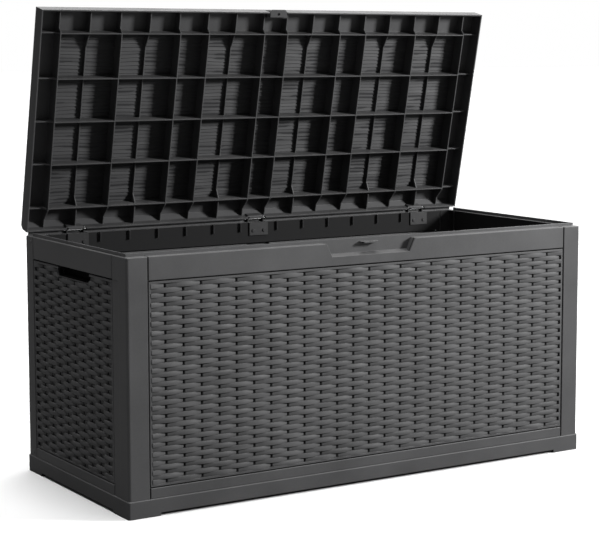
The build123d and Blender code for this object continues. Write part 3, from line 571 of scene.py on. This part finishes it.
def metal_part(name, tone, metallic, gloss, edge, peel):
    """Coated or plated steel: edges rub bright, and the coat has a slight orange peel."""
    material = bpy.data.materials.new(name)
    material.use_nodes = True
    tree = material.node_tree
    shader = tree.nodes["Principled BSDF"]
    place = add(tree, "ShaderNodeTexCoord").outputs["Object"]
    edges = use_group(tree, rounded_edges, Radius=0.4 * MM, Vector=place)
    marks = use_group(tree, fine_scratches, Vector=place)
    surface = use_group(tree, mould_grain, Vector=place, Grain=peel)
    colour = mix_colour(tree, surface.outputs["Cloud"], shaded(tone, 0.8), shaded(tone, 1.2))
    scratched = calculate(tree, "MULTIPLY", marks.outputs["Mark"], 0.3)
    colour = mix_colour(tree, scratched, colour, shaded(tone, 1.7))
    edge_wear_and_highlight = calculate(tree, "MULTIPLY", edges.outputs["Edge"], 0.5)
    colour = mix_colour(tree, edge_wear_and_highlight, colour, edge)
    tree.links.new(colour, shader.inputs["Base Color"])
    rough = calculate(tree, "MULTIPLY", surface.outputs["Speck"], 0.2)
    rough = calculate(tree, "ADD", rough, gloss - 0.1)
    smoothed = calculate(tree, "MULTIPLY", marks.outputs["Mark"], 0.08)
    tree.links.new(calculate(tree, "SUBTRACT", rough, smoothed), shader.inputs["Roughness"])
    shader.inputs["Metallic"].default_value = metallic
    bump = add(tree, "ShaderNodeBump", {"Height": surface.outputs["Height"],
                                        "Normal": edges.outputs["Normal"],
                                        "Strength": 0.25, "Distance": 0.05 * MM})
    tree.links.new(bump.outputs[0], shader.inputs["Normal"])
    return material


HINGES = ("left", "centre", "right")
black_coat = metal_part("black powder coat", (0.030, 0.030, 0.031), metallic=0.0, gloss=0.42,
                        edge=(0.12, 0.12, 0.12, 1.0), peel=600.0)
zinc_plate = metal_part("zinc plate", (0.45, 0.45, 0.46), metallic=1.0, gloss=0.38,
                        edge=(0.7, 0.7, 0.7, 1.0), peel=1500.0)
dress(black_coat, *[f"hinge_bracket_{at}" for at in HINGES], "bracket_screws")
dress(zinc_plate, *[f"hinge_pin_{at}" for at in HINGES])
dress(frame_resin, "locking_pins")

# ---- Floor, light and camera ----
# A plain white floor that throws little light back, a soft box at the right of the front, a broad
# light overhead, a bright wall behind, and a long lens a little higher than the open lid.
FLOOR_THROWS, FLOOR_SHOWS = 0.12, 0.92
WHITE = (1.0, 1.0, 1.0)
white = bpy.data.materials.new("white floor")
white.use_nodes = True
paper = white.node_tree
seen_floor = mix_colour(paper, add(paper, "ShaderNodeLightPath").outputs["Is Camera Ray"],
                        shaded(WHITE, FLOOR_THROWS), shaded(WHITE, FLOOR_SHOWS))
paper.links.new(seen_floor, paper.nodes["Principled BSDF"].inputs["Base Color"])
paper.nodes["Principled BSDF"].inputs["Roughness"].default_value = 1.0
paper.nodes["Principled BSDF"].inputs["Specular IOR Level"].default_value = 0.0
ground = bmesh.new()
bmesh.ops.create_grid(ground, x_segments=1, y_segments=1, size=60.0 * METRE)
ground_mesh = bpy.data.meshes.new("studio_floor")
ground.to_mesh(ground_mesh)
ground.free()
studio_floor = bpy.data.objects.new("studio_floor", ground_mesh)
ground_mesh.materials.append(white)
bpy.context.scene.collection.objects.link(studio_floor)


def lamp(kind, name, toward, power):
    """A light that shines along a direction."""
    light = bpy.data.lights.new(name, kind)
    light.energy = power
    holder = bpy.data.objects.new(name, light)
    holder.rotation_mode = "QUATERNION"
    holder.rotation_quaternion = Vector(toward).to_track_quat("-Z", "Y")
    bpy.context.scene.collection.objects.link(holder)
    return holder


def facing(turn, dip):
    """A unit vector: turned from straight back towards the right, and dipped."""
    return Vector((math.sin(turn) * math.cos(dip), math.cos(turn) * math.cos(dip), -math.sin(dip)))


KEY_SIDE, KEY_UP, KEY_DISTANCE = math.radians(55.0), math.radians(20.0), 4.2 * METRE
KEY_WATTS, SUN_STRENGTH = 215.0, 3.0
FRONT_MIDDLE = Vector((0.0, -0.26, 0.45)) * METRE
key_way = facing(-KEY_SIDE, KEY_UP)
key = lamp("AREA", "key light", key_way, KEY_WATTS)
key.data.size = 0.8 * METRE
key.location = FRONT_MIDDLE - KEY_DISTANCE * key_way
overhead = lamp("SUN", "overhead light", (0.04, 0.06, -1.0), SUN_STRENGTH)
overhead.data.angle = math.radians(40.0)

world = bpy.data.worlds.new("studio")
bpy.context.scene.world = world
world.use_nodes = True
sky = world.node_tree
BRIGHT_WALL = (0.68, 0.62, 0.40)     # the direction of the bright wall's middle
WALL_DIM, WALL_BRIGHT = 0.07, 2.4
way = add(sky, "ShaderNodeTexCoord").outputs["Generated"]
behind = add(sky, "ShaderNodeVectorMath", {0: way, 1: BRIGHT_WALL},
             operation="DOT_PRODUCT").outputs["Value"]
wall = remap(sky, behind, 0.70, 0.95, WALL_DIM, WALL_BRIGHT)
sky.links.new(wall, sky.nodes["Background"].inputs["Strength"])
seen = add(sky, "ShaderNodeBackground", {"Color": (*WHITE, 1.0), "Strength": 1.0})
mixed = add(sky, "ShaderNodeMixShader", {0: add(sky, "ShaderNodeLightPath").outputs["Is Camera Ray"],
                                         1: sky.nodes["Background"].outputs[0], 2: seen.outputs[0]})
sky.nodes["Background"].inputs["Color"].default_value = (*WHITE, 1.0)
sky.links.new(mixed.outputs[0], sky.nodes["World Output"].inputs["Surface"])
bpy.context.scene.view_settings.view_transform = "Standard"

YAW, DIP = math.radians(32.58), math.radians(6.43)
lens = bpy.data.cameras.new("camera")
lens.sensor_width, lens.lens = 36.0, 104.62
lens.shift_x, lens.shift_y = -0.0437, -0.0437
lens.clip_start, lens.clip_end = 0.1, 200.0
camera = bpy.data.objects.new("camera", lens)
camera.location = (-2.162, -3.455, 0.976)
camera.rotation_mode = "QUATERNION"
camera.rotation_quaternion = facing(YAW, DIP).to_track_quat("-Z", "Y")
bpy.context.scene.collection.objects.link(camera)
bpy.context.scene.camera = camera
